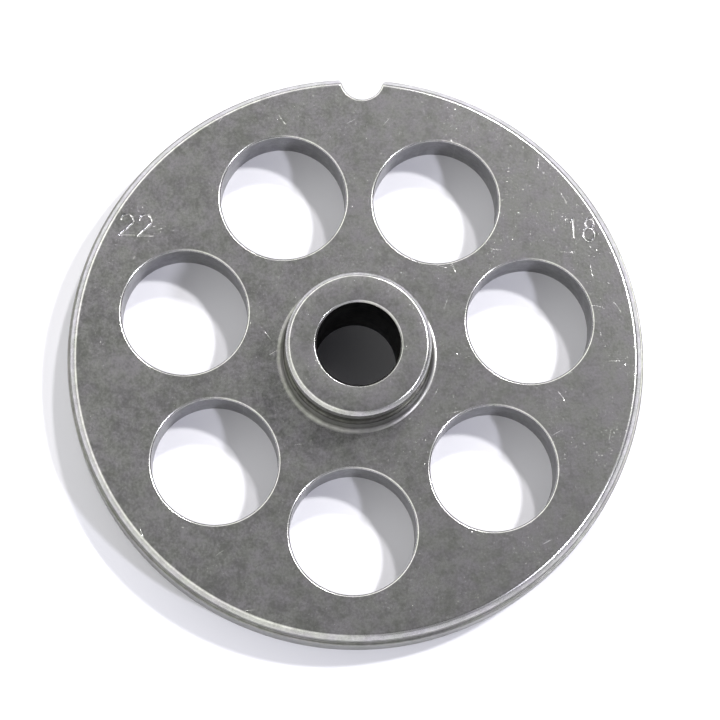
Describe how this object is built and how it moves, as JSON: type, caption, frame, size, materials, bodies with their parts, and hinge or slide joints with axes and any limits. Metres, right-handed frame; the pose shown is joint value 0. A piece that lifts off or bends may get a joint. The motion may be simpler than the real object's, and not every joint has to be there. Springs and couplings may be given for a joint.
{
  "type": "meat grinder plate",
  "caption": "Round steel mincing plate with a raised bored hub, large straight holes, a stepped rim and a half-round key notch.",
  "frame": {"origin": "on the bore's axis at the flat cutting face", "axes": "+Z along the bore axis, from the cutting face towards the hub's end; +Y towards the notch"},
  "size_m": [0.0824, 0.0824, 0.017],
  "materials": {
    "steel": "tumbled satin"
  },
  "bodies": {
    "root": {"grinder_plate": "steel"}
  },
  "joints": []
}
